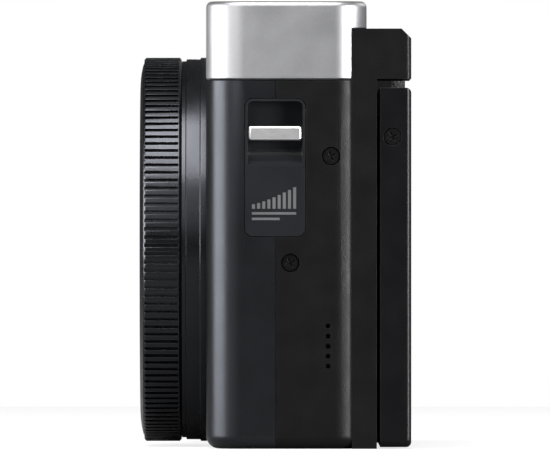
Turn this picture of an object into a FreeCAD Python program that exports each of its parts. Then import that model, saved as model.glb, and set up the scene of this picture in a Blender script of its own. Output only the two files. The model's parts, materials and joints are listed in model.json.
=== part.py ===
"""Compact travel-zoom digital camera with a finder and a flip-up monitor.

Frame, in millimetres: X runs along the width, +X on the side away from the grip. The lens
points along -Y and the monitor is at +Y. +Z is up. The origin is at the middle of the base.
"""
import FreeCAD, Part
import math
import os

V = FreeCAD.Vector
X_DIR, Y_DIR, Z_DIR = V(1, 0, 0), V(0, 1, 0), V(0, 0, 1)
TINY = 1e-6              # tolerance for picking edges by position

# ---- case ----
WIDTH = 112.0            # overall, along X
HEIGHT = 68.8            # overall, along Z
HALF = WIDTH / 2
FRONT_Y = -10.65         # front face of the case
BACK_Y = 14.05           # back of the case outline
SEAM_Y = 0.1             # joint between front and rear covers
SEAM = 0.15              # visible gap between cover mouldings
SPACER = (1.0, 0.3, 0.4) # seam spacer: reach into the case, into the wall, start above base
SPACER_FOOT = 2.0        # length of its foot along the floor
SPACER_HOLD = 0.5        # overlap with the rear cover
CASE_TOP = HEIGHT - 12.2     # top of the front and rear covers
TOP_Z = CASE_TOP + SEAM      # underside of the top cover
FRONT_CORNER = 6.0
REAR_CORNER = 5.0
BOTTOM_FILLET = 2.0
WALL = 1.2
INSIDE_X = HALF - WALL   # inner face of the side walls
TOP_ROUND = 0.9          # upper edge of the top cover
TOP_BEVEL = 0.25         # lower edge of the top cover
DECK_Z = HEIGHT - 4.6    # lowered deck that carries the top controls
DECK_X = -HALF + 48.0    # where the deck steps up to the full height
RUN_FIT = 0.05           # radial running clearance

# ---- rear block, button pedestal and finder hump ----
BLOCK_DEPTH = 1.55       # block stands this far behind the case outline
BLOCK_START = 2.25       # its sides begin this far ahead of the outline's back
REAR_WALL = 4.0          # thickness behind the main cavity
BLOCK_Y = BACK_Y + BLOCK_DEPTH
BLOCK_FRONT = BACK_Y - BLOCK_START
BLOCK_HALF = HALF - REAR_CORNER + math.sqrt(REAR_CORNER ** 2 - (REAR_CORNER - BLOCK_START) ** 2)
CAVITY_BACK = BLOCK_Y - REAR_WALL
BACK_END = BLOCK_Y + 5.3     # rearmost plane of monitor and finder hump
BACK_ROUND = 0.8         # rear edges of hump and monitor
PEDESTAL_Y = BACK_END - 2.5  # face that carries the rear buttons
PEDESTAL_TOP = CASE_TOP + 3.9
PEDESTAL_ROUND = 1.2
HUMP_X = HALF - 48.0     # inner end of the finder hump
HUMP_TOP = HEIGHT - 4.2
HUMP_BOTTOM = CASE_TOP + 0.3
HUMP_CHAMFER = 1.5
EYE_X = HALF - 18.0      # middle of the eyepiece
EYE_W = 13.0
EYE_Z = (HUMP_TOP - 6.4, HUMP_TOP - 1.4)
EYE_ROUND = 1.0
EYE_RIM = (1.0, 0.8)     # surround's width at the sides, and above and below
EYE_INSET = 1.6          # window below the hump's rear face
EVF_CLEAR = (0.6, 0.3)   # finder module inside the eyepiece's outline, in X and Z
WHEEL_AT = (HALF - 7.5, HUMP_TOP - 4.0)      # X, Z of the diopter wheel
WHEEL_R = 2.0
WHEEL_HALF = 0.8         # half of its width
WHEEL_PIN = (0.5, 0.9)   # pin radius, and length beyond each face
LVF_AT = (HUMP_X + 7.0, HUMP_TOP - 4.0)
LVF_R = 2.2

# ---- monitor and its hinges ----
MONITOR_X = -HALF + 34.7     # inner edge of the monitor
MONITOR_GAP = 0.5        # round the monitor
MONITOR_Y = BLOCK_Y + MONITOR_GAP
MONITOR_TOP = CASE_TOP - 1.1
MONITOR_BOTTOM = 0.25
MONITOR_ROUND = 1.2      # lower corners
GLASS_T = 0.9            # monitor window thickness
GLASS_EDGE = 2.6         # frame width around the window
GLASS_SINK = 0.1         # window below the frame's face
GLASS_GAP = 0.1
GLASS_ROUND = 1.0
ARM_PIVOT = (BLOCK_Y - 0.6, 20.0)            # Y, Z of the arm's pivot in the rear block
FLIP_PIVOT = (BACK_END - 2.7, MONITOR_TOP - 1.3)     # Y, Z of the monitor's pivot on the arm
ARM_X = (HUMP_X - 16.0, HUMP_X + 34.0)
ARM_T = 1.1
ARM_CLEAR = 0.3
ARM_PIN = (0.55, 1.4)    # trunnion radius, and length beyond the arm
EAR_W = 6.0
EAR_T = 1.1
EAR_INSET = 2.0          # from the arm's end
EAR_DROP = 3.0           # straight part of each ear below its barrel
BARREL_R = 0.75
FLIP_PIN = (0.45, 1.2)   # pin radius, and length beyond the barrel

# ---- lens, fixed and turning rings ----
LENS_X = HALF - 44.5
LENS_Z = 30.6
LENS_FRONT = -20.95      # front of the fixed bezel
RING_FRONT = -20.4
RING_BACK = -14.6
RING_WALL = 4.0          # control ring, outside to running face
RING_EDGE = 0.3          # chamfer of its outer edges
RING_GAP = 0.08          # along the axis, bezel to control ring
RING_RIBS = 146
RIB_DEPTH = 0.5
GROOVE_SHARE = 0.46      # of the rib pitch
GROOVE_START = 0.12      # behind the ring's front
GROOVE_END = 0.4         # ahead of the ring's back
BASE_FRONT = -13.85
BASE_STEP = 0.25         # base ring below the control ring's radius
BASE_FLANGE = 1.0        # thickness of its wider foot
GROOVE_STEP = 0.55       # groove behind the control ring
HOUSING_WALL = 1.3
HOUSING_BACK = CAVITY_BACK - 3.0
HOUSING_CLEAR = 0.3      # front cover hole round the housing
HOUSING_WINDOW = (4.0, 3.0)  # half width and half height of the opening to the sensor
BEZEL_GAP = 0.25
BEZEL_LIP = 1.95         # flat front face of the bezel
BEZEL_STEP = 0.8         # bezel below the control ring's radius

# ---- lens, nest of barrels built out from the innermost ----
INNER_R = 19.3           # outside of the innermost barrel
INNER_WALL = 0.6
MIDDLE_GAP = 0.35
MIDDLE_WALL = 1.05
OUTER_GAP = 0.4
OUTER_WALL = 1.1
CAM_GAP = 0.7
CAM_WALL = 1.5
HOUSING_GAP = 0.2
CAM_FRONT = RING_FRONT + 1.2
CAM_BACK = HOUSING_BACK - 1.3
CAM_SLOT = (-12.0, 2.0)
BARREL_FRONT = LENS_FRONT + 0.25
BARREL_STEP = 0.1        # each smaller barrel starts this far ahead of the next
OUTER_BACK = 6.0
MIDDLE_BACK = 5.0
INNER_BACK = 3.0
MIDDLE_R = INNER_R + MIDDLE_GAP + MIDDLE_WALL
OUTER_R = MIDDLE_R + OUTER_GAP + OUTER_WALL
CAM_R = OUTER_R + CAM_GAP + CAM_WALL
HOUSING_R = CAM_R + HOUSING_GAP + HOUSING_WALL
RING_R = HOUSING_R + RING_WALL
BASE_R = RING_R - BASE_STEP
GROOVE_R = RING_R - GROOVE_STEP
BEZEL_IN = OUTER_R + BEZEL_GAP
BEZEL_FACE_R = BEZEL_IN + BEZEL_LIP
BEZEL_R = RING_R - BEZEL_STEP
BORE_R = INNER_R - INNER_WALL

# ---- lens, front plate, blades and glass ----
PLATE_FRONT = BARREL_FRONT - BARREL_STEP
PLATE_BACK = PLATE_FRONT + 1.1
PLATE_CONE = (2.4, 0.8)  # widening and depth of the funnel round the opening
BLADE_T = 0.4
BLADE_FRONT = PLATE_BACK + 0.3
BLADE_REACH = 5.0        # from a blade's edge to its pivot
BLADE_OPEN = 39.5        # degrees
BLADE_CLEAR = 0.24
BLADE_LAP = 0.4          # blade beyond the opening
BLADE_SPLIT = 0.03       # from the parting line
BLADE_LINK = (3.0, 2.2)  # overlap with the disc, and width
BLADE_EYE_R = 1.5
BLADE_PIN_R = 0.6
BLADE_SHIFT = 2 * math.sin(math.radians(BLADE_OPEN / 2))     # centre's move per unit of reach
BLADE_R = (BORE_R - BLADE_CLEAR - BLADE_REACH * BLADE_SHIFT) / (1 + BLADE_SHIFT)
BLADE_PIVOT = BLADE_R + BLADE_REACH
OPENING_R = BLADE_R - BLADE_LAP
CELL_R = BORE_R - 6.1    # bore of the front lens cell
CELL = (BARREL_FRONT + 2.8, BARREL_FRONT + 5.4)
FRONT_GLASS = (CELL[0] - 0.7, 1.6)   # front, and bulge
GLASS_FIT = 0.02
CARRIER_WALL = 6.0       # of the zoom and focus lens carriers
ZOOM_GROUP = (0.5, -12.0, -6.0)      # clearance in the barrel, front, back
FOCUS_GROUP = (1.7, 3.4, 6.6)
GROUP_BULGE = 0.9

# ---- side fittings ----
PANEL_Y = (-4.65, 4.57)
PANEL_Z = (CASE_TOP - 23.9, CASE_TOP - 2.8)
PANEL_DEPTH = 3.6
PANEL_ROUND = 1.2
PANEL_GAP = 0.12
PANEL_SINK = 0.05        # panel below the side face
POCKET_EDGE = 0.35       # panel rim round the strap pocket
POCKET_Z = CASE_TOP - 10.6
POCKET_FLOOR = 0.8
POCKET_ROUND = 0.9
SCOOP_R = 3.4
SCOOP_AT = (HALF + 0.9, POCKET_Z + 0.9)
LUG_X = (HALF - 1.5, HALF - 0.2)
LUG_Z = (CASE_TOP - 9.2, CASE_TOP - 7.0)
LUG_ROUND = (0.6, 0.25)  # at the ends, and above and below
SIDE_SCREWS = ((8.56, 45.0), (2.3, 28.6))    # Y, Z on each side of the case
CASE_SCREW_SINK = 0.3    # head below the side face
MONITOR_SCREW = (BACK_END - 2.9, 48.0)       # Y, Z on each side of the monitor
MONITOR_SCREW_SINK = 0.15
SCREW_R = 1.25
SCREW_CLEAR = 0.2
SCREW_HEAD = 0.6
SCREW_LENGTH = 3.6       # under the head
SCREW_CROSS = (0.75, 0.18, 0.45)     # half length, half width and depth of the recess
SHANK_R = 0.75
BOSS = 3.2               # screw boss inside the case wall
BOSS_WALL = 1.2
SPEAKER_AT = (8.1, 12.7)     # Y, Z of the lowest hole
SPEAKER_PITCH = 1.55
SPEAKER_HOLES = 5
SPEAKER_HOLE_R = 0.43
SPEAKER = (4.0, (4.6, 9.0), (10.6, 21.0))    # depth, Y and Z limits of the unit
PORT_Y = (1.6, 8.6)
PORT_Z = (10.0, 24.5)
PORT_GAP = 0.12
PORT_T = 1.1             # port door
PORT_PIN = (0.3, 0.8)    # pin radius, and length beyond the door
PORT_AXIS = (-HALF + 0.6, PORT_Y[0] + 0.6)   # X, Y of the port door's pivot
SOCKET = ((0.4, 6.5), (3.9, 8.4))    # depth behind the wall and Y limits
USB = ((4.6, 7.7), (11.0, 15.2))     # Y and Z limits of its opening
VIDEO = ((4.9, 7.4), (17.0, 23.4))
SOCKET_DEPTH = 5.0

# ---- base fittings ----
DOOR_X = (-HALF + 3.0, -HALF + 36.0)
DOOR_Y = (-8.4, 9.2)
DOOR_GAP = 0.15
DOOR_AXIS = (DOOR_X[1] - WALL / 2, WALL / 2)     # X, Z of the battery door's pivot
DOOR_PIN = (0.3, 0.8)    # pin radius, and length beyond the door
LOCK_X = (DOOR_X[0] + 3.0, DOOR_X[0] + 8.0)
LOCK_Y = (-2.6, 3.4)
LOCK_Z = (0.05, 0.7)
LOCK_GAP = 0.1
LOCK_TRAVEL = 2.0
LOCK_GROOVES = 3
TRIPOD_AT = (HALF - 18.0, 6.0)
TRIPOD_R = 4.6
TRIPOD_THREAD_R = 3.175
TRIPOD_LENGTH = 5.5

# ---- inside the case ----
BATTERY = (28.0, 10.5, 41.0)
BATTERY_AT = (-INSIDE_X + 4.6, FRONT_Y + WALL + 1.35, WALL + 2.0)
BATTERY_ROUND = 1.5
HOLDER_WALL = 0.8
HOLDER_GAP = 0.2
BOARD_Y = (HOUSING_BACK + 1.0, CAVITY_BACK - 1.0)
BOARD_X = (-HALF + 8.5, HALF - 4.0)
BOARD_Z = (7.0, CASE_TOP - 4.6)
CHIP = (9.0, 1.1)        # side and thickness
CHIPS = ((-HALF + 16.0, 38.0), (-HALF + 16.0, 14.0), (HALF - 17.5, 12.0))
BOARD_CLEAR = 1.4        # round a screw
CHASSIS_X = (-HALF + 8.0, HALF - 3.5)
CHASSIS_Z = (3.0, CASE_TOP - 2.6)
CHASSIS_HOLE = (3.0, CASE_TOP - 9.6, 14.0)   # radius, height and pitch of its holes
CHASSIS_HOLES = 6
SENSOR_BOARD = (11.0, 9.0, 1.0)      # half width, half height, thickness
SENSOR_CHIP = (3.6, 2.7, 0.7)
CARD_X = (-HALF + 10.0, -HALF + 35.4)
CARD_Y = (4.2, 7.6)
CARD_Z = (WALL + 2.0, WALL + 33.4)
CARD_WALL = 0.6
MOTOR_AT = (LENS_X - 25.0, 8.0)
MOTOR = (4.0, -7.0, 4.0)     # radius, front and back of the can
MOTOR_SHAFT = (0.8, 7.0)     # radius, and back end

# ---- front and top controls ----
GRIP_X = (-HALF + 5.0, -HALF + 18.0)
GRIP_Z = (4.0, CASE_TOP - 2.6)
GRIP_DEPTH = 4.4
GRIP_ROUND = 3.0
REST_X = (-HALF + 2.5, -HALF + 18.5)
REST_Z = (CASE_TOP - 16.1, PEDESTAL_TOP - 0.8)
REST_DEPTH = 2.2
REST_ROUND = 1.4
FLASH_X = (DECK_X + 4.0, DECK_X + 17.0)
FLASH_Z = (HEIGHT - 9.2, HEIGHT - 3.4)
FLASH_ROUND = 0.9
FLASH_DEPTH = 4.5        # reflector box
FLASH_TROUGH_R = 2.2
FLASH_TUBE_R = 0.9
CAPACITOR = (3.6, (HALF - 44.0, HALF - 16.0), (-4.4, HEIGHT - 7.3))  # radius, X limits, Y and Z
AF_AT = (-HALF + 39.0, HEIGHT - 8.8)
AF_R = 1.9
AF_FLANGE = 0.7
MIC_AT = ((HALF - 34.0, -3.0), (HALF - 26.0, -3.0))
MIC_R = 0.45
MIC_CAN = (2.0, 1.5)     # radius and height
LEVER_AT = (-HALF + 13.0, -2.3)
LEVER_R = 8.0
LEVER_Z = (DECK_Z + 0.15, DECK_Z + 3.0)
WELL_Z = LEVER_Z[0] + 1.0    # floor of the shutter button's well
LEVER_TAB = (2.0, 5.5, 0.7)  # half width, start from the middle, height above the ring
HUB_R = 3.0              # hubs of the zoom lever and the mode dial
HUB_BOTTOM = DECK_Z - 2.2
SHUTTER_R = 4.6
SHUTTER_STEM_R = 1.2
SHUTTER_TRAVEL = 0.9
SHUTTER_TOP = HEIGHT - 0.7
DIAL_AT = (-HALF + 37.5, 3.8)
DIAL_R = 8.6
DIAL_RIBS = 48
DIAL_NOTCH_R = 0.25
DIAL_EDGE = 0.5
SMALL_R = 2.6
TOP_BUTTONS = {"power_button": (-HALF + 23.5, 9.0), "movie_button": (-HALF + 25.5, -5.5)}
TOP_PROUD = 0.7
BUTTON_GAP = 0.15
FLANGE = 0.6
FLANGE_T = 0.6
TRAVEL = 0.5

# ---- rear controls ----
REAR_DIAL_AT = (-HALF + 17.5, 27.0)
REAR_DIAL_R = 10.5
REAR_DIAL_SINK = 1.5
REAR_DIAL_PROUD = 0.9
KNURL_R = 0.22
SET_R = 5.0
SET_STEM_R = SET_R - 1.0
REAR_BUTTON_R = 2.3
REAR_BUTTONS = {"playback_button": (-HALF + 26.5, 43.0), "menu_button": (-HALF + 9.0, 9.5),
                "disp_button": (-HALF + 26.0, 9.5)}
REAR_BUTTON_DEPTH = 1.8  # flange's inner face below the surface
BUTTON_PROUD = 0.5


def box(x, y, z):
    """Box between pairs of limits."""
    return Part.makeBox(x[1] - x[0], y[1] - y[0], z[1] - z[0], V(x[0], y[0], z[0]))


def rounded(x, y, z, radius, along):
    """Box whose four edges along one direction are rounded."""
    body = box(x, y, z)
    edges = [e for e in body.Edges if abs(e.tangentAt(e.FirstParameter).dot(along)) > 0.9]
    return body.makeFillet(radius, edges)


def rod(radius, start, end, at, along):
    """Cylinder along an axis; `at` holds the two other coordinates in X, Y, Z order."""
    if along == X_DIR:
        base = V(start, at[0], at[1])
    elif along == Y_DIR:
        base = V(at[0], start, at[1])
    else:
        base = V(at[0], at[1], start)
    return Part.makeCylinder(radius, end - start, base, along)


def tube(outer, inner, start, end, at, along):
    return rod(outer, start, end, at, along).cut(rod(inner, start, end, at, along))


def lens_tube(outer, inner, front, back):
    return tube(outer, inner, front, back, (LENS_X, LENS_Z), Y_DIR)


def lens_rod(radius, front, back):
    return rod(radius, front, back, (LENS_X, LENS_Z), Y_DIR)


def mirrored(shape):
    """The same shape on the other side of the camera."""
    return shape.mirror(V(0, 0, 0), X_DIR)


def fuse(*shapes):
    return shapes[0].fuse(list(shapes[1:])).removeSplitter()


def plan(inset, low, high):
    """Case outline seen from above, moved in by `inset`, between two heights."""
    x0, x1 = -HALF + inset, HALF - inset
    y0, y1 = FRONT_Y + inset, BACK_Y - inset
    body = box((x0, x1), (y0, y1), (low, high))
    for at_front, radius in ((True, FRONT_CORNER), (False, REAR_CORNER)):
        edges = [e for e in body.Edges if e.Length > high - low - TINY
                 and abs(e.tangentAt(e.FirstParameter).z) > 0.9
                 and (e.CenterOfMass.y < (y0 + y1) / 2) == at_front
                 and abs(abs(e.CenterOfMass.x) - x1) < TINY]
        body = body.makeFillet(radius - inset, edges)
    return body


def case_outer():
    body = plan(0, 0, CASE_TOP)
    edges = [e for e in body.Edges if e.BoundBox.ZMax < TINY]
    return body.makeFillet(BOTTOM_FILLET, edges)


def case_cavity():
    deep = plan(WALL, WALL, CASE_TOP + 1)
    return deep.common(box((-WIDTH, WIDTH), (-WIDTH, CAVITY_BACK), (0, HEIGHT)))


def panel_shape(grow):
    """Strap panel on the +X side before its pockets, grown for its recess."""
    y = (PANEL_Y[0] - grow, PANEL_Y[1] + grow)
    z = (PANEL_Z[0] - grow, PANEL_Z[1] + grow)
    x = (HALF - PANEL_DEPTH, HALF - PANEL_SINK + 2 * grow)
    return rounded(x, y, z, PANEL_ROUND + grow, X_DIR)


def side_cuts():
    """Openings that both sides of the case share."""
    tools = [panel_shape(PANEL_GAP)]
    for y, z in SIDE_SCREWS:
        tools.append(rod(SCREW_R + SCREW_CLEAR, HALF - CASE_SCREW_SINK - SCREW_HEAD, HALF + 1,
                         (y, z), X_DIR))
        tools.append(rod(SHANK_R, INSIDE_X - BOSS - 1, HALF, (y, z), X_DIR))
    return tools + [mirrored(t) for t in tools]


def seam_spacers():
    """Strips that hold the covers apart at the seam, inside each side wall and its foot."""
    inward, outward, low = SPACER
    y = (SEAM_Y - SEAM / 2, SEAM_Y + SEAM / 2 + SPACER_HOLD)
    strip = box((INSIDE_X - inward, INSIDE_X + outward), y, (low, CASE_TOP))
    foot = box((INSIDE_X - inward - SPACER_FOOT, INSIDE_X - inward), y, (0, WALL))
    spacer = fuse(strip, foot)
    return [spacer, mirrored(spacer)]


def side_bosses():
    posts = [rod(SHANK_R + BOSS_WALL, INSIDE_X - BOSS, INSIDE_X + 0.1, at, X_DIR)
             for at in SIDE_SCREWS]
    return posts + [mirrored(p) for p in posts]


def door_opening():
    return box((DOOR_X[0] - DOOR_GAP, DOOR_X[1] + DOOR_GAP),
               (DOOR_Y[0] - DOOR_GAP, DOOR_Y[1] + DOOR_GAP), (-1, WALL + 0.01))


def door_pins(grow):
    """Trunnions, or their holes, at both ends of the battery door's pivot."""
    radius, length = DOOR_PIN
    return rod(radius + grow, DOOR_Y[0] - length, DOOR_Y[1] + length, DOOR_AXIS, Y_DIR)


def front_cover():
    body = case_outer().cut(case_cavity())
    body = body.common(box((-WIDTH, WIDTH), (-WIDTH, SEAM_Y - SEAM / 2), (-1, HEIGHT)))
    tools = [lens_rod(HOUSING_R + HOUSING_CLEAR, FRONT_Y - 1, FRONT_Y + 5), door_opening(),
             door_pins(RUN_FIT)]
    return body.cut(tools + side_cuts())


def port_opening():
    return box((-HALF - 1, -INSIDE_X + 0.01), (PORT_Y[0] - PORT_GAP, PORT_Y[1] + PORT_GAP),
               (PORT_Z[0] - PORT_GAP, PORT_Z[1] + PORT_GAP))


def port_pins(grow):
    radius, length = PORT_PIN
    return rod(radius + grow, PORT_Z[0] - length, PORT_Z[1] + length, PORT_AXIS, Z_DIR)


def finder_hump():
    """Finder hump: a neck that rises from the rear block and a hood over the monitor."""
    neck = box((HUMP_X, BLOCK_HALF), (BLOCK_FRONT, BLOCK_Y), (CASE_TOP - 2, HUMP_TOP))
    hood = box((HUMP_X, BLOCK_HALF), (BLOCK_Y - 0.5, BACK_END), (HUMP_BOTTOM, HUMP_TOP))
    edges = [e for e in hood.Edges if e.BoundBox.ZMin > HUMP_TOP - TINY
             and e.BoundBox.YMin > BACK_END - TINY]
    hood = hood.makeChamfer(HUMP_CHAMFER, edges)
    corner = [e for e in hood.Edges if e.BoundBox.YMin > BACK_END - TINY
              and e.BoundBox.XMin > BLOCK_HALF - TINY]
    return fuse(neck, hood.makeFillet(BACK_ROUND, corner))


def rear_button_at():
    """Centre and radius of each round button on the rear faces, with its face plane."""
    rows = {name: (at, REAR_BUTTON_R, PEDESTAL_Y) for name, at in REAR_BUTTONS.items()}
    rows["lvf_button"] = (LVF_AT, LVF_R, BACK_END)
    return rows


def rear_button(at, radius, face):
    """Round cap with a retaining flange behind the cover's skin."""
    top = min(face + BUTTON_PROUD, BACK_END)
    foot = face - REAR_BUTTON_DEPTH
    cap = rod(radius, foot, top, at, Y_DIR)
    rim = [e for e in cap.Edges if e.BoundBox.YMin > top - TINY]
    cap = cap.makeFillet(0.25, rim)
    return fuse(cap, rod(radius + FLANGE, foot, foot + FLANGE_T, at, Y_DIR))


def rear_button_pocket(at, radius, face):
    hole = rod(radius + BUTTON_GAP, face - 3, face + 1, at, Y_DIR)
    foot = face - REAR_BUTTON_DEPTH
    room = rod(radius + FLANGE + BUTTON_GAP, foot - TRAVEL - 0.1, foot + FLANGE_T + 0.1, at, Y_DIR)
    return hole.fuse(room)


def arm_recess():
    """Room in the rear block for the monitor arm, its pivot and its swing."""
    x = (ARM_X[0] - ARM_CLEAR, ARM_X[1] + ARM_CLEAR)
    y0 = ARM_PIVOT[0] - ARM_T / 2 - ARM_CLEAR
    slot = box(x, (y0, BLOCK_Y + 1), (ARM_PIVOT[1] - 1.2, CASE_TOP + 0.1))
    radius, length = ARM_PIN
    pin = rod(radius + RUN_FIT, x[0] - length - 0.1, x[1] + length + 0.1, ARM_PIVOT, X_DIR)
    return [slot, pin]


def wheel_rods(grow, side_gap):
    """Diopter wheel and its pin, grown for the room they turn in."""
    at = (BACK_END - WHEEL_R, WHEEL_AT[1])
    radius, length = WHEEL_PIN
    reach = WHEEL_HALF + side_gap
    end = reach + length
    return [rod(WHEEL_R + side_gap, WHEEL_AT[0] - reach, WHEEL_AT[0] + reach, at, X_DIR),
            rod(radius + grow, WHEEL_AT[0] - end, WHEEL_AT[0] + end, at, X_DIR)]


def rear_cover():
    half_box = box((-WIDTH, WIDTH), (SEAM_Y + SEAM / 2, WIDTH), (-1, HEIGHT))
    block = box((-BLOCK_HALF, BLOCK_HALF), (BLOCK_FRONT, BLOCK_Y), (0, CASE_TOP))
    pedestal = rounded((-BLOCK_HALF, MONITOR_X - MONITOR_GAP), (BACK_Y + 0.2, PEDESTAL_Y),
                       (0, PEDESTAL_TOP), PEDESTAL_ROUND, Y_DIR)
    body = fuse(case_outer().common(half_box), block, pedestal, finder_hump())
    body = body.cut(case_cavity().common(half_box))
    body = fuse(body, *seam_spacers(), *[p.common(half_box) for p in side_bosses()])
    tools = side_cuts() + arm_recess() + [door_opening(), door_pins(RUN_FIT)]
    tools += [port_opening(), port_pins(RUN_FIT)]
    tools.append(rod(TRIPOD_R, -1, WALL + 1, TRIPOD_AT, Z_DIR))
    for i in range(SPEAKER_HOLES):
        at = (SPEAKER_AT[0], SPEAKER_AT[1] + i * SPEAKER_PITCH)
        tools.append(rod(SPEAKER_HOLE_R, INSIDE_X - 1, HALF + 1, at, X_DIR))
    for at, radius, face in rear_button_at().values():
        tools.append(rear_button_pocket(at, radius, face))
    floor = PEDESTAL_Y - REAR_DIAL_SINK - 0.1
    tools.append(rod(REAR_DIAL_R + 0.2, floor, PEDESTAL_Y + 1, REAR_DIAL_AT, Y_DIR))
    tools.append(rod(SET_STEM_R + BUTTON_GAP, floor - 1.6, PEDESTAL_Y, REAR_DIAL_AT, Y_DIR))
    eye_x = (EYE_X - EYE_W / 2, EYE_X + EYE_W / 2)
    tools.append(rounded(eye_x, (BLOCK_FRONT - 1, BACK_END + 1), EYE_Z, EYE_ROUND, Y_DIR))
    return body.cut(tools + wheel_rods(RUN_FIT, 0.15))


def top_cover():
    body = plan(0, TOP_Z, HEIGHT)
    edges = [e for e in body.Edges if e.BoundBox.ZMin > HEIGHT - TINY]
    body = body.makeFillet(TOP_ROUND, edges)
    edges = [e for e in body.Edges if e.BoundBox.ZMax < TOP_Z + TINY]
    body = body.makeChamfer(TOP_BEVEL, edges)
    body = body.cut(box((-WIDTH, DECK_X), (-WIDTH, WIDTH), (DECK_Z, HEIGHT + 1)))
    room = plan(WALL, TOP_Z - 1, HEIGHT - WALL)
    room = room.cut(box((-WIDTH, DECK_X + WALL), (-WIDTH, WIDTH), (DECK_Z - WALL, HEIGHT)))
    body = body.cut(room)
    tools = [rounded(FLASH_X, (FRONT_Y - 1, FRONT_Y + WALL + 1), FLASH_Z, FLASH_ROUND,
                     Y_DIR),
             rod(AF_R, FRONT_Y - 1, FRONT_Y + WALL + 1, AF_AT, Y_DIR),
             rod(HUB_R + RUN_FIT, DECK_Z - 3, DECK_Z + 1, LEVER_AT, Z_DIR),
             rod(HUB_R + RUN_FIT, DECK_Z - 3, DECK_Z + 1, DIAL_AT, Z_DIR)]
    tools.append(box((HUMP_X - SEAM, WIDTH), (BLOCK_FRONT - SEAM, WIDTH),
                     (TOP_Z - 1, HUMP_TOP + SEAM)))
    for at in TOP_BUTTONS.values():
        tools.append(rod(SMALL_R + BUTTON_GAP, DECK_Z - 3, DECK_Z + 1, at, Z_DIR))
    for at in MIC_AT:
        tools.append(rod(MIC_R, HEIGHT - 3, HEIGHT + 1, at, Z_DIR))
    return body.cut(tools)


def grip():
    """Finger grip on the front, with softened outer edges."""
    body = box(GRIP_X, (FRONT_Y - GRIP_DEPTH, FRONT_Y), GRIP_Z)
    edges = [e for e in body.Edges if e.BoundBox.YMax < FRONT_Y - 1]
    return body.makeFillet(GRIP_ROUND, edges)


def thumb_rest():
    body = box(REST_X, (PEDESTAL_Y, PEDESTAL_Y + REST_DEPTH), REST_Z)
    edges = [e for e in body.Edges if e.BoundBox.YMin > PEDESTAL_Y + 0.1]
    return body.makeFillet(REST_ROUND, edges)


def pocket_y():
    return (PANEL_Y[0] + POCKET_EDGE, PANEL_Y[1] - POCKET_EDGE)


def strap_panels():
    """Moulded panel in each side, with a pocket for the strap above a scooped pocket."""
    deep = rounded((HALF - PANEL_DEPTH + POCKET_FLOOR, HALF + 1), pocket_y(),
                   (POCKET_Z, PANEL_Z[1] - POCKET_EDGE), POCKET_ROUND, X_DIR)
    scoop = rod(SCOOP_R, *pocket_y(), SCOOP_AT, Y_DIR)
    panel = panel_shape(0).cut([deep, scoop])
    return Part.makeCompound([panel, mirrored(panel)])


def strap_lugs():
    bar = rounded(LUG_X, pocket_y(), LUG_Z, LUG_ROUND[0], Z_DIR)
    faces = [e for e in bar.Edges if abs(e.BoundBox.ZMax - e.BoundBox.ZMin) < TINY]
    bar = bar.makeChamfer(LUG_ROUND[1], faces)
    return Part.makeCompound([bar, mirrored(bar)])


def screw(face, at, along):
    """Pan head with a cross recess; the head's outer face is at `face`."""
    sign = 1 if face > 0 else -1
    under = face - sign * SCREW_HEAD
    head = rod(SCREW_R, *sorted((face, under)), at, along)
    shank = rod(SHANK_R, *sorted((under, under - sign * SCREW_LENGTH)), at, along)
    half, slot, depth = SCREW_CROSS
    lo, hi = sorted((face + sign, face - sign * depth))
    wide = box((lo, hi), (at[0] - half, at[0] + half), (at[1] - slot, at[1] + slot))
    tall = box((lo, hi), (at[0] - slot, at[0] + slot), (at[1] - half, at[1] + half))
    cross = wide.fuse(tall)
    cross.rotate(V(0, at[0], at[1]), X_DIR, 25)
    return fuse(head, shank).cut(cross)


def case_screws():
    face = HALF - CASE_SCREW_SINK
    found = [screw(face, at, X_DIR) for at in SIDE_SCREWS]
    found += [screw(-face, at, X_DIR) for at in SIDE_SCREWS]
    return Part.makeCompound(found)


def lens_base_ring():
    hub = lens_tube(GROOVE_R, HOUSING_R, RING_BACK + 0.05, BASE_FRONT)
    ring = lens_tube(BASE_R, HOUSING_R, BASE_FRONT, FRONT_Y)
    flange = lens_tube(RING_R, HOUSING_R, FRONT_Y - BASE_FLANGE, FRONT_Y)
    return fuse(hub, ring, flange)


def lens_bezel():
    """Fixed front ring, turned profile with a quarter-round shoulder."""
    back = RING_FRONT - RING_GAP
    r0, r1, r2 = BEZEL_IN, BEZEL_FACE_R, BEZEL_R
    bend = math.sqrt(0.5)
    mid = V(LENS_X + r1 + (r2 - r1) * bend, back - (back - LENS_FRONT) * bend, LENS_Z)
    points = [V(LENS_X + r0, back, LENS_Z), V(LENS_X + r0, LENS_FRONT, LENS_Z),
              V(LENS_X + r1, LENS_FRONT, LENS_Z), V(LENS_X + r2, back, LENS_Z)]
    edges = [Part.LineSegment(points[0], points[1]).toShape(),
             Part.LineSegment(points[1], points[2]).toShape(),
             Part.Arc(points[2], mid, points[3]).toShape(),
             Part.LineSegment(points[3], points[0]).toShape()]
    face = Part.Face(Part.Wire(edges))
    return face.revolve(V(LENS_X, 0, LENS_Z), Y_DIR, 360)


def lens_housing():
    wall = lens_tube(HOUSING_R, HOUSING_R - HOUSING_WALL, RING_FRONT - RING_GAP, HOUSING_BACK)
    plate = lens_rod(HOUSING_R, HOUSING_BACK - 1, HOUSING_BACK)
    half_x, half_z = HOUSING_WINDOW
    window = box((LENS_X - half_x, LENS_X + half_x), (0, HOUSING_BACK + 1),
                 (LENS_Z - half_z, LENS_Z + half_z))
    return fuse(wall, plate.cut(window))


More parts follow.
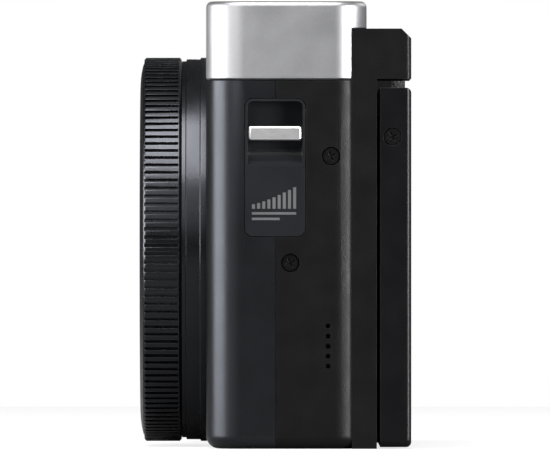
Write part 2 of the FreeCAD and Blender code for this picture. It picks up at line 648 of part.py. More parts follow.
def control_ring():
    """Turning ring with raised lands; its inside runs on the housing tube."""
    body = lens_tube(RING_R, HOUSING_R + RUN_FIT, RING_FRONT, RING_BACK)
    edges = [e for e in body.Edges if e.BoundBox.XLength > 2 * RING_R - 0.1
             and abs(e.BoundBox.YMin - e.BoundBox.YMax) < 0.1]
    body = body.makeChamfer(RING_EDGE, edges)
    pitch = 2 * math.pi * RING_R / RING_RIBS
    half = pitch * GROOVE_SHARE / 2
    grooves = []
    for i in range(RING_RIBS):
        cut = box((LENS_X - half, LENS_X + half),
                  (RING_FRONT + GROOVE_START, RING_BACK - GROOVE_END),
                  (LENS_Z + RING_R - RIB_DEPTH, LENS_Z + RING_R + 1))
        cut.rotate(V(LENS_X, 0, LENS_Z), Y_DIR, 360.0 * i / RING_RIBS)
        grooves.append(cut)
    return body.cut(Part.makeCompound(grooves))


def cam_ring():
    body = lens_tube(CAM_R, CAM_R - CAM_WALL, CAM_FRONT, CAM_BACK)
    slots = []
    for turn in (0, 120, 240):
        slot = box((LENS_X - 1, LENS_X + 1), CAM_SLOT, (LENS_Z + CAM_R - 3, LENS_Z + CAM_R + 1))
        slot.rotate(V(LENS_X, 0, LENS_Z), Y_DIR, turn)
        slots.append(slot)
    return body.cut(slots)


def outer_barrel():
    return lens_tube(OUTER_R, OUTER_R - OUTER_WALL, BARREL_FRONT, OUTER_BACK)


def middle_barrel():
    return lens_tube(MIDDLE_R, MIDDLE_R - MIDDLE_WALL, BARREL_FRONT - BARREL_STEP, MIDDLE_BACK)


def inner_barrel():
    skin = lens_tube(INNER_R, BORE_R, BARREL_FRONT - 2 * BARREL_STEP, INNER_BACK)
    cell = lens_tube(BORE_R + 0.1, CELL_R, *CELL)
    return fuse(skin, cell)


def lens_front_ring():
    """Front plate with a funnelled opening and the two blade pins on its back."""
    plate = lens_rod(BORE_R - GLASS_FIT, PLATE_FRONT, PLATE_BACK)
    widening, depth = PLATE_CONE
    cone = Part.makeCone(OPENING_R + widening, OPENING_R, depth, V(LENS_X, PLATE_FRONT, LENS_Z),
                         Y_DIR)
    plate = plate.cut([cone, lens_rod(OPENING_R, PLATE_FRONT - 1, PLATE_BACK + 1)])
    y = (PLATE_BACK - 0.1, BLADE_FRONT + BLADE_T + 0.3)
    pins = [rod(BLADE_PIN_R, *y, (LENS_X + side * BLADE_PIVOT, LENS_Z), Y_DIR)
            for side in (1, -1)]
    return fuse(plate, *pins)


def barrier_blade(side):
    """Half-disc shutter blade; side is +1 for the upper blade and -1 for the lower."""
    y = (BLADE_FRONT, BLADE_FRONT + BLADE_T)
    pivot = (LENS_X + BLADE_PIVOT * side, LENS_Z)
    z = sorted((LENS_Z + BLADE_SPLIT * side, LENS_Z + BLADE_R * side))
    half = lens_rod(BLADE_R, *y).common(box((LENS_X - BLADE_R, LENS_X + BLADE_R), y, z))
    overlap, width = BLADE_LINK
    x = sorted((LENS_X + side * (BLADE_R - overlap), pivot[0]))
    z = sorted((LENS_Z + BLADE_SPLIT * side, LENS_Z + width * side))
    link = box(x, y, z)
    eye = rod(BLADE_EYE_R, *y, pivot, Y_DIR)
    hole = rod(BLADE_PIN_R + RUN_FIT, y[0] - 1, y[1] + 1, pivot, Y_DIR)
    return fuse(half, link, eye).cut(hole)


def domed_lens(radius, front, back, bulge):
    """Lens element, convex to the front by `bulge`."""
    sphere_r = (radius ** 2 + bulge ** 2) / (2 * bulge)
    ball = Part.makeSphere(sphere_r, V(LENS_X, front + sphere_r, LENS_Z))
    return ball.common(lens_rod(radius, front, back))


def front_lens():
    front, bulge = FRONT_GLASS
    return domed_lens(CELL_R - GLASS_FIT, front, CELL[1], bulge)


def lens_group(clearance, front, back):
    """Carrier with its glass, one solid as it is cemented and staked."""
    radius = BORE_R - clearance
    bore = radius - CARRIER_WALL
    return fuse(lens_tube(radius, bore, front, back),
                domed_lens(bore, front + 0.4, back, GROUP_BULGE))


def image_sensor():
    def plate(half_x, half_z, y):
        return box((LENS_X - half_x, LENS_X + half_x), y, (LENS_Z - half_z, LENS_Z + half_z))

    board_x, board_z, board_t = SENSOR_BOARD
    chip_x, chip_z, chip_t = SENSOR_CHIP
    return fuse(plate(board_x, board_z, (HOUSING_BACK, HOUSING_BACK + board_t)),
                plate(chip_x, chip_z, (HOUSING_BACK - chip_t, HOUSING_BACK + 0.1)))


def main_board():
    board = box(BOARD_X, BOARD_Y, BOARD_Z)
    boss_room = [rod(SHANK_R + BOARD_CLEAR, INSIDE_X - 15, HALF, at, X_DIR)
                 for at in SIDE_SCREWS]
    side, thick = CHIP
    chips = [box((x, x + side), (BOARD_Y[0] - thick, BOARD_Y[0]), (z, z + side))
             for x, z in CHIPS]
    return fuse(board.cut(boss_room), *chips)


def chassis_plate():
    plate = box(CHASSIS_X, (BOARD_Y[1], CAVITY_BACK), CHASSIS_Z)
    radius, z, pitch = CHASSIS_HOLE
    first = -pitch * (CHASSIS_HOLES - 1) / 2
    holes = [rod(radius, BOARD_Y[1] - 1, CAVITY_BACK + 1, (first + i * pitch, z), Y_DIR)
             for i in range(CHASSIS_HOLES)]
    return plate.cut(holes)


def battery_limits(grow):
    """X, Y and Z limits of the battery, grown at the sides and the top."""
    (x, y, z), (dx, dy, dz) = BATTERY_AT, BATTERY
    return (x - grow, x + dx + grow), (y - grow, y + dy + grow), (z, z + dz + grow)


def battery():
    return rounded(*battery_limits(0), BATTERY_ROUND, Z_DIR)


def battery_holder():
    """Sleeve round the battery, open at the base."""
    x, y, z = battery_limits(HOLDER_GAP)
    inside = box(x, y, (z[0] - 1, z[1] - HOLDER_GAP))
    return box(*battery_limits(HOLDER_GAP + HOLDER_WALL)).cut(inside)


def card_socket():
    """Flat shell, open towards the battery door."""
    shell = box(CARD_X, CARD_Y, CARD_Z)
    return shell.cut(box((CARD_X[0] + CARD_WALL, CARD_X[1] - CARD_WALL),
                         (CARD_Y[0] + CARD_WALL, CARD_Y[1] - CARD_WALL),
                         (CARD_Z[0] - 1, CARD_Z[1] - CARD_WALL)))


def zoom_motor():
    radius, front, back = MOTOR
    shaft_r, shaft_end = MOTOR_SHAFT
    return fuse(rod(radius, front, back, MOTOR_AT, Y_DIR),
                rod(shaft_r, back, shaft_end, MOTOR_AT, Y_DIR))


def tripod_socket():
    bush = rod(TRIPOD_R, 0, TRIPOD_LENGTH + 1, TRIPOD_AT, Z_DIR)
    return bush.cut(rod(TRIPOD_THREAD_R, -1, TRIPOD_LENGTH, TRIPOD_AT, Z_DIR))


def speaker():
    depth, y, z = SPEAKER
    return box((INSIDE_X - depth, INSIDE_X), y, z)


def io_sockets():
    """Block behind the port door with its USB and video openings."""
    depth, y = SOCKET
    body = box((-INSIDE_X + depth[0], -INSIDE_X + depth[1]), y, PORT_Z)
    return body.cut([box((-INSIDE_X, -INSIDE_X + SOCKET_DEPTH), *limits)
                     for limits in (USB, VIDEO)])


def flash_window():
    return rounded(FLASH_X, (FRONT_Y, FRONT_Y + WALL), FLASH_Z, FLASH_ROUND, Y_DIR)


def flash_unit():
    """Reflector box with its trough and the tube across it."""
    y = (FRONT_Y + WALL, FRONT_Y + WALL + FLASH_DEPTH)
    shell = box((FLASH_X[0] + 0.5, FLASH_X[1] - 0.5), y, (FLASH_Z[0] + 0.4, FLASH_Z[1] - 0.4))
    z = (FLASH_Z[0] + FLASH_Z[1]) / 2
    trough = rod(FLASH_TROUGH_R, FLASH_X[0] + 1.5, FLASH_X[1] - 1.5, (y[0], z), X_DIR)
    lamp = rod(FLASH_TUBE_R, FLASH_X[0] + 1, FLASH_X[1] - 1, (y[0] + 1.5, z), X_DIR)
    return fuse(shell.cut(trough), lamp)


def flash_capacitor():
    radius, x, at = CAPACITOR
    return rod(radius, *x, at, X_DIR)


def af_lamp():
    inner = FRONT_Y + WALL
    return fuse(rod(AF_R, FRONT_Y + 0.05, inner + 1, AF_AT, Y_DIR),
                rod(AF_R + AF_FLANGE, inner, inner + 1, AF_AT, Y_DIR))


def microphones():
    radius, height = MIC_CAN
    top = HEIGHT - WALL
    return Part.makeCompound([rod(radius, top - height, top, at, Z_DIR) for at in MIC_AT])


def evf_unit():
    x, z = EVF_CLEAR
    return box((EYE_X - EYE_W / 2 + x, EYE_X + EYE_W / 2 - x), (0.0, BLOCK_FRONT - SEAM),
               (EYE_Z[0] + z, EYE_Z[1] - z))


def evf_eyepiece():
    """Rectangular surround with the finder's window set back in it."""
    x = (EYE_X - EYE_W / 2, EYE_X + EYE_W / 2)
    body = rounded(x, (BLOCK_FRONT - SEAM, BACK_END - 0.3), EYE_Z, EYE_ROUND, Y_DIR)
    side, above = EYE_RIM
    inner = rounded((x[0] + side, x[1] - side), (BACK_END - EYE_INSET, BACK_END + 1),
                    (EYE_Z[0] + above, EYE_Z[1] - above), EYE_ROUND / 2, Y_DIR)
    return body.cut(inner)


def zoom_lever():
    """Ring around the shutter button with a finger tab to the front."""
    z = LEVER_Z
    ring = rod(LEVER_R, *z, LEVER_AT, Z_DIR)
    tops = [e for e in ring.Edges if e.BoundBox.ZMin > z[1] - TINY]
    ring = ring.makeFillet(0.5, tops)
    half, start, rise = LEVER_TAB
    tab = rounded((LEVER_AT[0] - half, LEVER_AT[0] + half), (FRONT_Y + SEAM, LEVER_AT[1] - start),
                  (z[0] + 0.6, z[1] + rise), 0.6, Y_DIR)
    hub = rod(HUB_R, HUB_BOTTOM, z[0] + 0.1, LEVER_AT, Z_DIR)
    well = rod(SHUTTER_R + BUTTON_GAP, WELL_Z, z[1] + 1, LEVER_AT, Z_DIR)
    bore = rod(SHUTTER_STEM_R + 0.2, DECK_Z - 3, z[1], LEVER_AT, Z_DIR)
    return fuse(ring, tab, hub).cut([well, bore])


def shutter_button():
    low = WELL_Z + SHUTTER_TRAVEL + BUTTON_GAP
    cap = rod(SHUTTER_R, low, SHUTTER_TOP, LEVER_AT, Z_DIR)
    rim = [e for e in cap.Edges if e.BoundBox.ZMin > SHUTTER_TOP - TINY]
    return fuse(cap.makeFillet(0.5, rim), rod(SHUTTER_STEM_R, HUB_BOTTOM, low, LEVER_AT, Z_DIR))


def mode_dial():
    z = (DECK_Z + 0.2, HEIGHT - 0.4)
    body = rod(DIAL_R, z[0], z[1], DIAL_AT, Z_DIR)
    rim = [e for e in body.Edges if e.BoundBox.ZMin > z[1] - TINY]
    body = body.makeChamfer(DIAL_EDGE, rim)
    notches = []
    for i in range(DIAL_RIBS):
        cut = rod(DIAL_NOTCH_R, z[0], z[1] - DIAL_EDGE, (DIAL_AT[0] + DIAL_R, DIAL_AT[1]), Z_DIR)
        cut.rotate(V(DIAL_AT[0], DIAL_AT[1], 0), Z_DIR, 360.0 * i / DIAL_RIBS)
        notches.append(cut)
    hub = rod(HUB_R, HUB_BOTTOM, z[0] + 0.1, DIAL_AT, Z_DIR)
    return fuse(body.cut(Part.makeCompound(notches)), hub)


def top_button(at):
    """Round cap with a retaining flange under the deck."""
    under = DECK_Z - WALL - 0.1
    cap = rod(SMALL_R, under - FLANGE_T, DECK_Z + TOP_PROUD, at, Z_DIR)
    rim = [e for e in cap.Edges if e.BoundBox.ZMin > DECK_Z]
    return fuse(cap.makeFillet(0.3, rim), rod(SMALL_R + FLANGE, under - FLANGE_T, under, at, Z_DIR))


def rear_dial():
    body = tube(REAR_DIAL_R, SET_R + 0.25, PEDESTAL_Y - REAR_DIAL_SINK,
                PEDESTAL_Y + REAR_DIAL_PROUD, REAR_DIAL_AT, Y_DIR)
    knurl = []
    for i in range(DIAL_RIBS):
        cut = rod(KNURL_R, PEDESTAL_Y, PEDESTAL_Y + 1,
                  (REAR_DIAL_AT[0] + REAR_DIAL_R, REAR_DIAL_AT[1]), Y_DIR)
        cut.rotate(V(REAR_DIAL_AT[0], 0, REAR_DIAL_AT[1]), Y_DIR, 360.0 * i / DIAL_RIBS)
        knurl.append(cut)
    return body.cut(Part.makeCompound(knurl))


def set_button():
    cap = rod(SET_R, PEDESTAL_Y - 0.9, PEDESTAL_Y + 0.8, REAR_DIAL_AT, Y_DIR)
    stem = rod(SET_STEM_R, PEDESTAL_Y - 2.5, PEDESTAL_Y - 0.8, REAR_DIAL_AT, Y_DIR)
    return fuse(cap, stem)


def diopter_wheel():
    return fuse(*wheel_rods(0, 0))


def ear_spans():
    """X limits of the arm's two ears."""
    return ((ARM_X[0] + EAR_INSET, ARM_X[0] + EAR_INSET + EAR_W),
            (ARM_X[1] - EAR_INSET - EAR_W, ARM_X[1] - EAR_INSET))


def flip_pin(x, grow, end_gap):
    """Pin through one ear's barrel, or the hole for it."""
    radius, length = FLIP_PIN
    reach = length + end_gap
    return rod(radius + grow, x[0] - reach, x[1] + reach, FLIP_PIVOT, X_DIR)


def monitor_arm():
    """Swing plate with trunnions at its foot and two cranked ears with barrels."""
    y = (ARM_PIVOT[0] - ARM_T / 2, ARM_PIVOT[0] + ARM_T / 2)
    step_z = FLIP_PIVOT[1] - EAR_DROP
    radius, length = ARM_PIN
    pieces = [box(ARM_X, y, (ARM_PIVOT[1], step_z)),
              rod(ARM_T / 2, ARM_X[0], ARM_X[1], ARM_PIVOT, X_DIR),
              rod(radius, ARM_X[0] - length, ARM_X[1] + length, ARM_PIVOT, X_DIR)]
    ear_y = (FLIP_PIVOT[0] - EAR_T / 2, FLIP_PIVOT[0] + EAR_T / 2)
    for x in ear_spans():
        pieces.append(box(x, (y[0], ear_y[1]), (step_z - EAR_T, step_z)))
        pieces.append(box(x, ear_y, (step_z - EAR_T, FLIP_PIVOT[1])))
        pieces.append(rod(BARREL_R, x[0], x[1], FLIP_PIVOT, X_DIR))
        pieces.append(flip_pin(x, 0, 0))
    return fuse(*pieces)


def monitor_frame():
    """Monitor housing with notches for the arm's ears and a bed for the window."""
    x = (MONITOR_X, BLOCK_HALF)
    body = box(x, (MONITOR_Y, BACK_END), (MONITOR_BOTTOM, MONITOR_TOP))
    corner = [e for e in body.Edges if e.BoundBox.YLength > 2
              and e.BoundBox.ZMax < MONITOR_BOTTOM + 0.1]
    body = body.makeFillet(MONITOR_ROUND, corner)
    rear = [e for e in body.Edges if e.BoundBox.YMin > BACK_END - 0.1]
    body = body.makeFillet(BACK_ROUND, rear)
    tools = [monitor_window_shape(GLASS_GAP)]
    for ear in ear_spans():
        notch_x = (ear[0] - ARM_CLEAR, ear[1] + ARM_CLEAR)
        low = FLIP_PIVOT[1] - EAR_DROP - EAR_T - 0.5
        back = FLIP_PIVOT[0] + BARREL_R + 0.35
        tools.append(box(notch_x, (MONITOR_Y - 1, back), (low, MONITOR_TOP + 1)))
        tools.append(flip_pin(ear, RUN_FIT, 0.1))
    for sign, face in ((1, BLOCK_HALF), (-1, MONITOR_X)):
        lo, hi = sorted((face + sign, face - sign * (MONITOR_SCREW_SINK + SCREW_HEAD)))
        tools.append(rod(SCREW_R - 0.05 + SCREW_CLEAR, lo, hi, MONITOR_SCREW, X_DIR))
        lo, hi = sorted((face, face - sign * (SCREW_HEAD + SCREW_LENGTH + 0.4)))
        tools.append(rod(SHANK_R, lo, hi, MONITOR_SCREW, X_DIR))
    return body.cut(tools)


def monitor_window_shape(grow):
    x = (MONITOR_X + GLASS_EDGE - grow, BLOCK_HALF - GLASS_EDGE + grow)
    z = (MONITOR_BOTTOM + GLASS_EDGE - grow, MONITOR_TOP - GLASS_EDGE + grow)
    return rounded(x, (BACK_END - GLASS_T, BACK_END + grow), z, GLASS_ROUND, Y_DIR)


def monitor_glass():
    limits = box((-WIDTH, WIDTH), (0, BACK_END - GLASS_SINK), (0, HEIGHT))
    return monitor_window_shape(0).common(limits)


def monitor_screws():
    faces = (BLOCK_HALF - MONITOR_SCREW_SINK, MONITOR_X + MONITOR_SCREW_SINK)
    return Part.makeCompound([screw(face, MONITOR_SCREW, X_DIR) for face in faces])


def battery_door():
    slab = box((DOOR_X[0], DOOR_AXIS[0]), DOOR_Y, (0, WALL))
    knuckle = rod(WALL / 2, DOOR_Y[0], DOOR_Y[1], DOOR_AXIS, Y_DIR)
    pocket = box((LOCK_X[0] - LOCK_GAP, LOCK_X[1] + LOCK_TRAVEL + LOCK_GAP),
                 (LOCK_Y[0] - LOCK_GAP, LOCK_Y[1] + LOCK_GAP), (-1, LOCK_Z[1] + 0.05))
    return fuse(slab, knuckle, door_pins(0)).cut(pocket)


def door_lock():
    body = box(LOCK_X, LOCK_Y, LOCK_Z)
    grooves = [box((LOCK_X[0] + 1 + i, LOCK_X[0] + 1.4 + i), (LOCK_Y[0] + 0.6, LOCK_Y[1] - 0.6),
                   (-1, 0.3)) for i in range(LOCK_GROOVES)]
    return body.cut(grooves)


def port_door():
    slab = box((-HALF + 0.05, -HALF + 0.05 + PORT_T), (PORT_AXIS[1], PORT_Y[1]), PORT_Z)
    knuckle = rod(PORT_T / 2, PORT_Z[0], PORT_Z[1], PORT_AXIS, Z_DIR)
    return fuse(slab, knuckle, port_pins(0))


NODES = {
    "front_cover": front_cover, "rear_cover": rear_cover, "top_cover": top_cover,
    "grip": grip, "thumb_rest": thumb_rest, "strap_panels": strap_panels,
    "strap_lugs": strap_lugs, "case_screws": case_screws, "lens_base_ring": lens_base_ring,
    "lens_bezel": lens_bezel, "lens_housing": lens_housing, "control_ring": control_ring,
    "cam_ring": cam_ring, "outer_barrel": outer_barrel, "middle_barrel": middle_barrel,
    "inner_barrel": inner_barrel, "lens_front_ring": lens_front_ring,
    "barrier_blade_upper": lambda: barrier_blade(1),
    "barrier_blade_lower": lambda: barrier_blade(-1),
    "front_lens": front_lens,
    "zoom_lens_group": lambda: lens_group(*ZOOM_GROUP),
    "focus_lens_group": lambda: lens_group(*FOCUS_GROUP),
    "image_sensor": image_sensor, "main_board": main_board, "chassis_plate": chassis_plate,
    "battery": battery, "battery_holder": battery_holder, "card_socket": card_socket,
    "zoom_motor": zoom_motor, "tripod_socket": tripod_socket, "speaker": speaker,
    "io_sockets": io_sockets, "flash_window": flash_window, "flash_unit": flash_unit,
    "flash_capacitor": flash_capacitor, "af_lamp": af_lamp, "microphones": microphones,
    "evf_unit": evf_unit, "evf_eyepiece": evf_eyepiece, "zoom_lever": zoom_lever,
    "shutter_button": shutter_button, "mode_dial": mode_dial, "rear_dial": rear_dial,
    "set_button": set_button, "diopter_wheel": diopter_wheel, "monitor_arm": monitor_arm,
    "monitor_frame": monitor_frame, "monitor_glass": monitor_glass,
    "monitor_screws": monitor_screws, "battery_door": battery_door, "door_lock": door_lock,
    "port_door": port_door,
}


def build():
    """Every node's shape, by name."""
    shapes = {name: make() for name, make in NODES.items()}
    for name, at in TOP_BUTTONS.items():
        shapes[name] = top_button(at)
    for name, (at, radius, face) in rear_button_at().items():
        shapes[name] = rear_button(at, radius, face)
    return shapes


os.makedirs("parts", exist_ok=True)
for node, shape in build().items():
    shape.exportStep("parts/" + node + ".step")
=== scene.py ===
"""Looks of the compact digital camera: materials, small surface detail, studio and camera."""
import bpy
import bmesh
import json
import math
from mathutils import Matrix, Vector

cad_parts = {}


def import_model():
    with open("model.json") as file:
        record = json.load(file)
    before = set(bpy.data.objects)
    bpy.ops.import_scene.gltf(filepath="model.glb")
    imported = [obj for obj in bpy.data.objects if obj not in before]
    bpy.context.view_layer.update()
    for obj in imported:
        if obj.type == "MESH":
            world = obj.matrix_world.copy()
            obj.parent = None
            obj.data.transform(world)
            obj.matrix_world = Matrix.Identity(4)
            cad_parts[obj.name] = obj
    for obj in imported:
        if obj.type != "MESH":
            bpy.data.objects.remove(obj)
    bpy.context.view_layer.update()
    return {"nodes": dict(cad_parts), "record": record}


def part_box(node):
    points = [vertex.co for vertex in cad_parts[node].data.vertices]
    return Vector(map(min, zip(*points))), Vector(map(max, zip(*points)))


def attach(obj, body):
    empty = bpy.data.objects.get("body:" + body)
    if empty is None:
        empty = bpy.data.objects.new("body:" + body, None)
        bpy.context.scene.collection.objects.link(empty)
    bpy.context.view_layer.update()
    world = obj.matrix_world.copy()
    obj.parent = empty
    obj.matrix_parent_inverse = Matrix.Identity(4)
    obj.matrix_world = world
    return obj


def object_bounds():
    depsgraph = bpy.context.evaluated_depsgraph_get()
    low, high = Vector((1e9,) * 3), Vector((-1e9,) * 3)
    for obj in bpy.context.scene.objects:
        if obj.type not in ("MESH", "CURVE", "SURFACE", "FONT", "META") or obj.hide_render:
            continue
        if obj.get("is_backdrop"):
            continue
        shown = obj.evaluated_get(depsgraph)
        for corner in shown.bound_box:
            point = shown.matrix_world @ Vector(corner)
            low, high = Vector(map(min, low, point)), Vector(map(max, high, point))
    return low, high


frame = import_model()
NODES = frame["nodes"]
MM = 0.001

bpy.context.scene.view_settings.view_transform = "Standard"


# ---- material tools ----
EDGE_WEAR_AND_HIGHLIGHT_WIDTH = 0.16 * MM       # how far the edge wear and painted edge highlight reach from an edge
EDGE_WEAR_AND_HIGHLIGHT_BEND = (0.80, 0.985)    # cosine of the bend at an edge: full wear and painted highlight, none
EDGE_WEAR_AND_HIGHLIGHT_PATCH = 3.0             # size of the patches that break the wear and painted highlight up, mm
# edge colour on plastic: partly wear, partly a painted highlight
PLASTIC_WEAR_AND_HIGHLIGHT = (0.06, 0.06, 0.06)
NOISE_SPAN = (0.25, 0.75)    # where most of a noise's values lie
LINE_SCALE = 0.314           # turns a pitch into the wave texture's scale


class Surface:
    """A material with short calls for the nodes that its detail needs."""

    def __init__(self, name, colour, rough, metal=0.0, **sockets):
        self.material = bpy.data.materials.new(name)
        self.material.use_nodes = True
        self.tree = self.material.node_tree
        self.shader = self.tree.nodes["Principled BSDF"]
        self.colour = colour
        self.shader.inputs["Base Color"].default_value = (*colour, 1)
        self.shader.inputs["Roughness"].default_value = rough
        self.shader.inputs["Metallic"].default_value = metal
        for socket, value in sockets.items():
            self.shader.inputs[socket.replace("_", " ")].default_value = value
        coord = self.tree.nodes.new("ShaderNodeTexCoord")
        self.place = coord.outputs["Object"]
        self.normal = None

    def stretch(self, scale):
        """Coordinates scaled differently along X, Y and Z."""
        node = self.tree.nodes.new("ShaderNodeMapping")
        node.inputs["Scale"].default_value = scale
        self.tree.links.new(self.place, node.inputs["Vector"])
        return node.outputs["Vector"]

    def noise(self, size_mm, detail=2.0, vector=None):
        """Cloudy variation whose features are about a size across."""
        node = self.tree.nodes.new("ShaderNodeTexNoise")
        node.inputs["Scale"].default_value = 1 / (size_mm * MM)
        node.inputs["Detail"].default_value = detail
        self.tree.links.new(vector or self.place, node.inputs["Vector"])
        return node.outputs["Fac"]

    def cells(self, size_mm, feature="DISTANCE_TO_EDGE"):
        """Pebbles: the distance to a cell's edge, or to its middle with F1."""
        node = self.tree.nodes.new("ShaderNodeTexVoronoi")
        node.feature = feature
        node.inputs["Scale"].default_value = 1 / (size_mm * MM)
        self.tree.links.new(self.place, node.inputs["Vector"])
        return node.outputs["Distance"]

    def lines(self, pitch_mm, axis):
        """Parallel lines that repeat along an axis."""
        node = self.tree.nodes.new("ShaderNodeTexWave")
        node.bands_direction = axis
        node.inputs["Scale"].default_value = LINE_SCALE / (pitch_mm * MM)
        node.inputs["Distortion"].default_value = 0.4
        self.tree.links.new(self.place, node.inputs["Vector"])
        return node.outputs["Fac"]

    def spread(self, value, low, high, clip=(0.0, 1.0)):
        """A value from the clip range, mapped to low and high and held there."""
        node = self.tree.nodes.new("ShaderNodeMapRange")
        node.inputs["From Min"].default_value = clip[0]
        node.inputs["From Max"].default_value = clip[1]
        node.inputs["To Min"].default_value = low
        node.inputs["To Max"].default_value = high
        self.tree.links.new(value, node.inputs["Value"])
        return node.outputs["Result"]

    def tint(self, value, other):
        """Mixes the current base colour towards another by a value."""
        node = self.tree.nodes.new("ShaderNodeMix")
        node.data_type = "RGBA"
        colour = self.shader.inputs["Base Color"]
        if colour.is_linked:
            self.tree.links.new(colour.links[0].from_socket, node.inputs["A"])
        else:
            node.inputs["A"].default_value = (*self.colour, 1)
        node.inputs["B"].default_value = (*other, 1)
        self.tree.links.new(value, node.inputs["Factor"])
        self.tree.links.new(node.outputs["Result"], colour)

    def roughness(self, value, low, high):
        """Roughness that varies between two numbers with a noise."""
        rough = self.spread(value, low, high, NOISE_SPAN)
        self.tree.links.new(rough, self.shader.inputs["Roughness"])

    def bump(self, height, depth_mm):
        """Adds relief of a depth on top of the relief so far."""
        node = self.tree.nodes.new("ShaderNodeBump")
        node.inputs["Distance"].default_value = depth_mm * MM
        self.tree.links.new(height, node.inputs["Height"])
        if self.normal:
            self.tree.links.new(self.normal, node.inputs["Normal"])
        self.normal = node.outputs["Normal"]
        self.tree.links.new(self.normal, self.shader.inputs["Normal"])

    def wear_and_highlight_edges(self, other, amount):
        """Lightens edges, broken up by noise: partly wear, partly a painted highlight along
        every bend.
        """
        geometry = self.tree.nodes.new("ShaderNodeNewGeometry")
        rounded = self.tree.nodes.new("ShaderNodeBevel")
        rounded.samples = 4
        rounded.inputs["Radius"].default_value = EDGE_WEAR_AND_HIGHLIGHT_WIDTH
        bend = self.tree.nodes.new("ShaderNodeVectorMath")
        bend.operation = "DOT_PRODUCT"
        self.tree.links.new(geometry.outputs["Normal"], bend.inputs[0])
        self.tree.links.new(rounded.outputs["Normal"], bend.inputs[1])
        edge = self.spread(bend.outputs["Value"], amount, 0, EDGE_WEAR_AND_HIGHLIGHT_BEND)
        patch = self.spread(self.noise(EDGE_WEAR_AND_HIGHLIGHT_PATCH, 4), 0.3, 1.0, (0.35, 0.65))
        node = self.tree.nodes.new("ShaderNodeMath")
        node.operation = "MULTIPLY"
        self.tree.links.new(edge, node.inputs[0])
        self.tree.links.new(patch, node.inputs[1])
        self.tint(node.outputs["Value"], other)


# ---- kinds of material: feature sizes and relief depths in mm ----
def lacquer(name, colour, rough, metal, flake):
    """Metal case lacquer: fine flake, slight orange peel and cloudy gloss."""
    s = Surface(name, colour, rough, metal)
    sparkle = s.spread(s.cells(0.09, "F1"), 0, 0.5, (0.1, 0.8))
    s.tint(sparkle, flake)
    s.roughness(s.noise(6.0, 4), rough - 0.03, rough + 0.04)
    s.bump(s.noise(0.10, 2), 0.0035)
    s.bump(s.noise(1.4, 2), 0.0030)
    # lighter edges: wear, and a painted highlight
    s.wear_and_highlight_edges(flake, 0.35)
    return s.material


def moulded(name, colour, rough, grain_mm, depth_mm):
    """Moulded plastic with a spark-eroded grain and handling polish."""
    s = Surface(name, colour, rough, 0.0, Specular_IOR_Level=0.15)
    s.tint(s.spread(s.noise(7.0, 5), 0, 0.5, (0.35, 0.7)), [c * 1.5 for c in colour])
    s.roughness(s.noise(4.0, 4), rough - 0.05, rough + 0.06)
    s.bump(s.noise(grain_mm, 3), depth_mm)
    # lighter edges: wear, and a painted highlight
    s.wear_and_highlight_edges(PLASTIC_WEAR_AND_HIGHLIGHT, 0.4)
    return s.material


def turned(name, colour, rough, metal, pitch_mm, axis="Y"):
    """Turned and anodised metal with fine tool lines across the axis."""
    s = Surface(name, colour, rough, metal)
    s.tint(s.spread(s.lines(pitch_mm * 2.3, axis), 0, 0.25), [c * 1.8 for c in colour])
    s.roughness(s.noise(5.0, 3), rough - 0.04, rough + 0.05)
    s.bump(s.lines(pitch_mm, axis), 0.0025)
    s.bump(s.noise(0.12, 2), 0.002)
    # bright edges: bare metal wear, and a painted highlight
    s.wear_and_highlight_edges([min(1, c * 4 + 0.08) for c in colour], 0.5)
    return s.material


def polished(name, colour):
    """Polished steel with faint drawn lines along Y."""
    s = Surface(name, colour, 0.25, 1.0)
    s.roughness(s.noise(1.0, 2), 0.33, 0.37)
    s.bump(s.noise(0.3, 2, s.stretch((1, 0.1, 1))), 0.0003)
    # white edges: wear, and a painted highlight
    s.wear_and_highlight_edges((1, 1, 1), 0.3)
    return s.material


def leathered(name, colour):
    """Elastomer with a leather-like pebble grain."""
    s = Surface(name, colour, 0.62)
    pebble = s.spread(s.cells(0.75), 0, 1, (0.0, 0.18))
    s.tint(s.spread(s.noise(3.0, 4), 0, 0.6), [c * 2.2 for c in colour])
    s.roughness(s.noise(0.8, 4), 0.52, 0.7)
    s.bump(pebble, 0.08)
    s.bump(s.noise(0.12, 3), 0.01)
    return s.material


def optical(name, tint, painted_sheen_tint):
    """Dark coated glass: a coloured sheen painted into the colour towards grazing angles,
    over a deep interior.
    """
    s = Surface(name, tint, 0.03, 0.0, IOR=1.6, Coat_Weight=1.0, Coat_Roughness=0.02)
    weight = s.tree.nodes.new("ShaderNodeLayerWeight")
    weight.inputs["Blend"].default_value = 0.45
    # painted sheen: the colour turns towards the tint where the surface faces away
    s.tint(weight.outputs["Facing"], painted_sheen_tint)
    s.roughness(s.noise(9.0, 3), 0.02, 0.05)
    s.bump(s.noise(5.0, 1), 0.0008)
    return s.material


def clear(name, tint, rough):
    """Clear plastic with fine ribs that repeat along X."""
    s = Surface(name, tint, rough, 0.0, Transmission_Weight=0.85, IOR=1.49)
    s.roughness(s.noise(2.0, 3), rough, rough + 0.06)
    s.bump(s.lines(0.5, "X"), 0.03)
    return s.material


def board(name, colour):
    """Circuit board with traces in its lacquer."""
    s = Surface(name, colour, 0.35)
    s.tint(s.spread(s.cells(1.2), 1, 0, (0.0, 0.06)), (0.25, 0.2, 0.06))
    s.roughness(s.noise(1.0, 3), 0.3, 0.45)
    s.bump(s.cells(1.2), 0.02)
    return s.material


def brushed(name, colour, rough):
    """Sheet metal brushed along X."""
    s = Surface(name, colour, rough, 1.0)
    grain = s.noise(0.15, 3, s.stretch((0.05, 1, 1)))
    s.tint(s.spread(grain, 0, 0.35, (0.3, 0.7)), [c * 0.6 for c in colour])
    s.roughness(grain, rough - 0.06, rough + 0.1)
    s.bump(grain, 0.003)
    return s.material


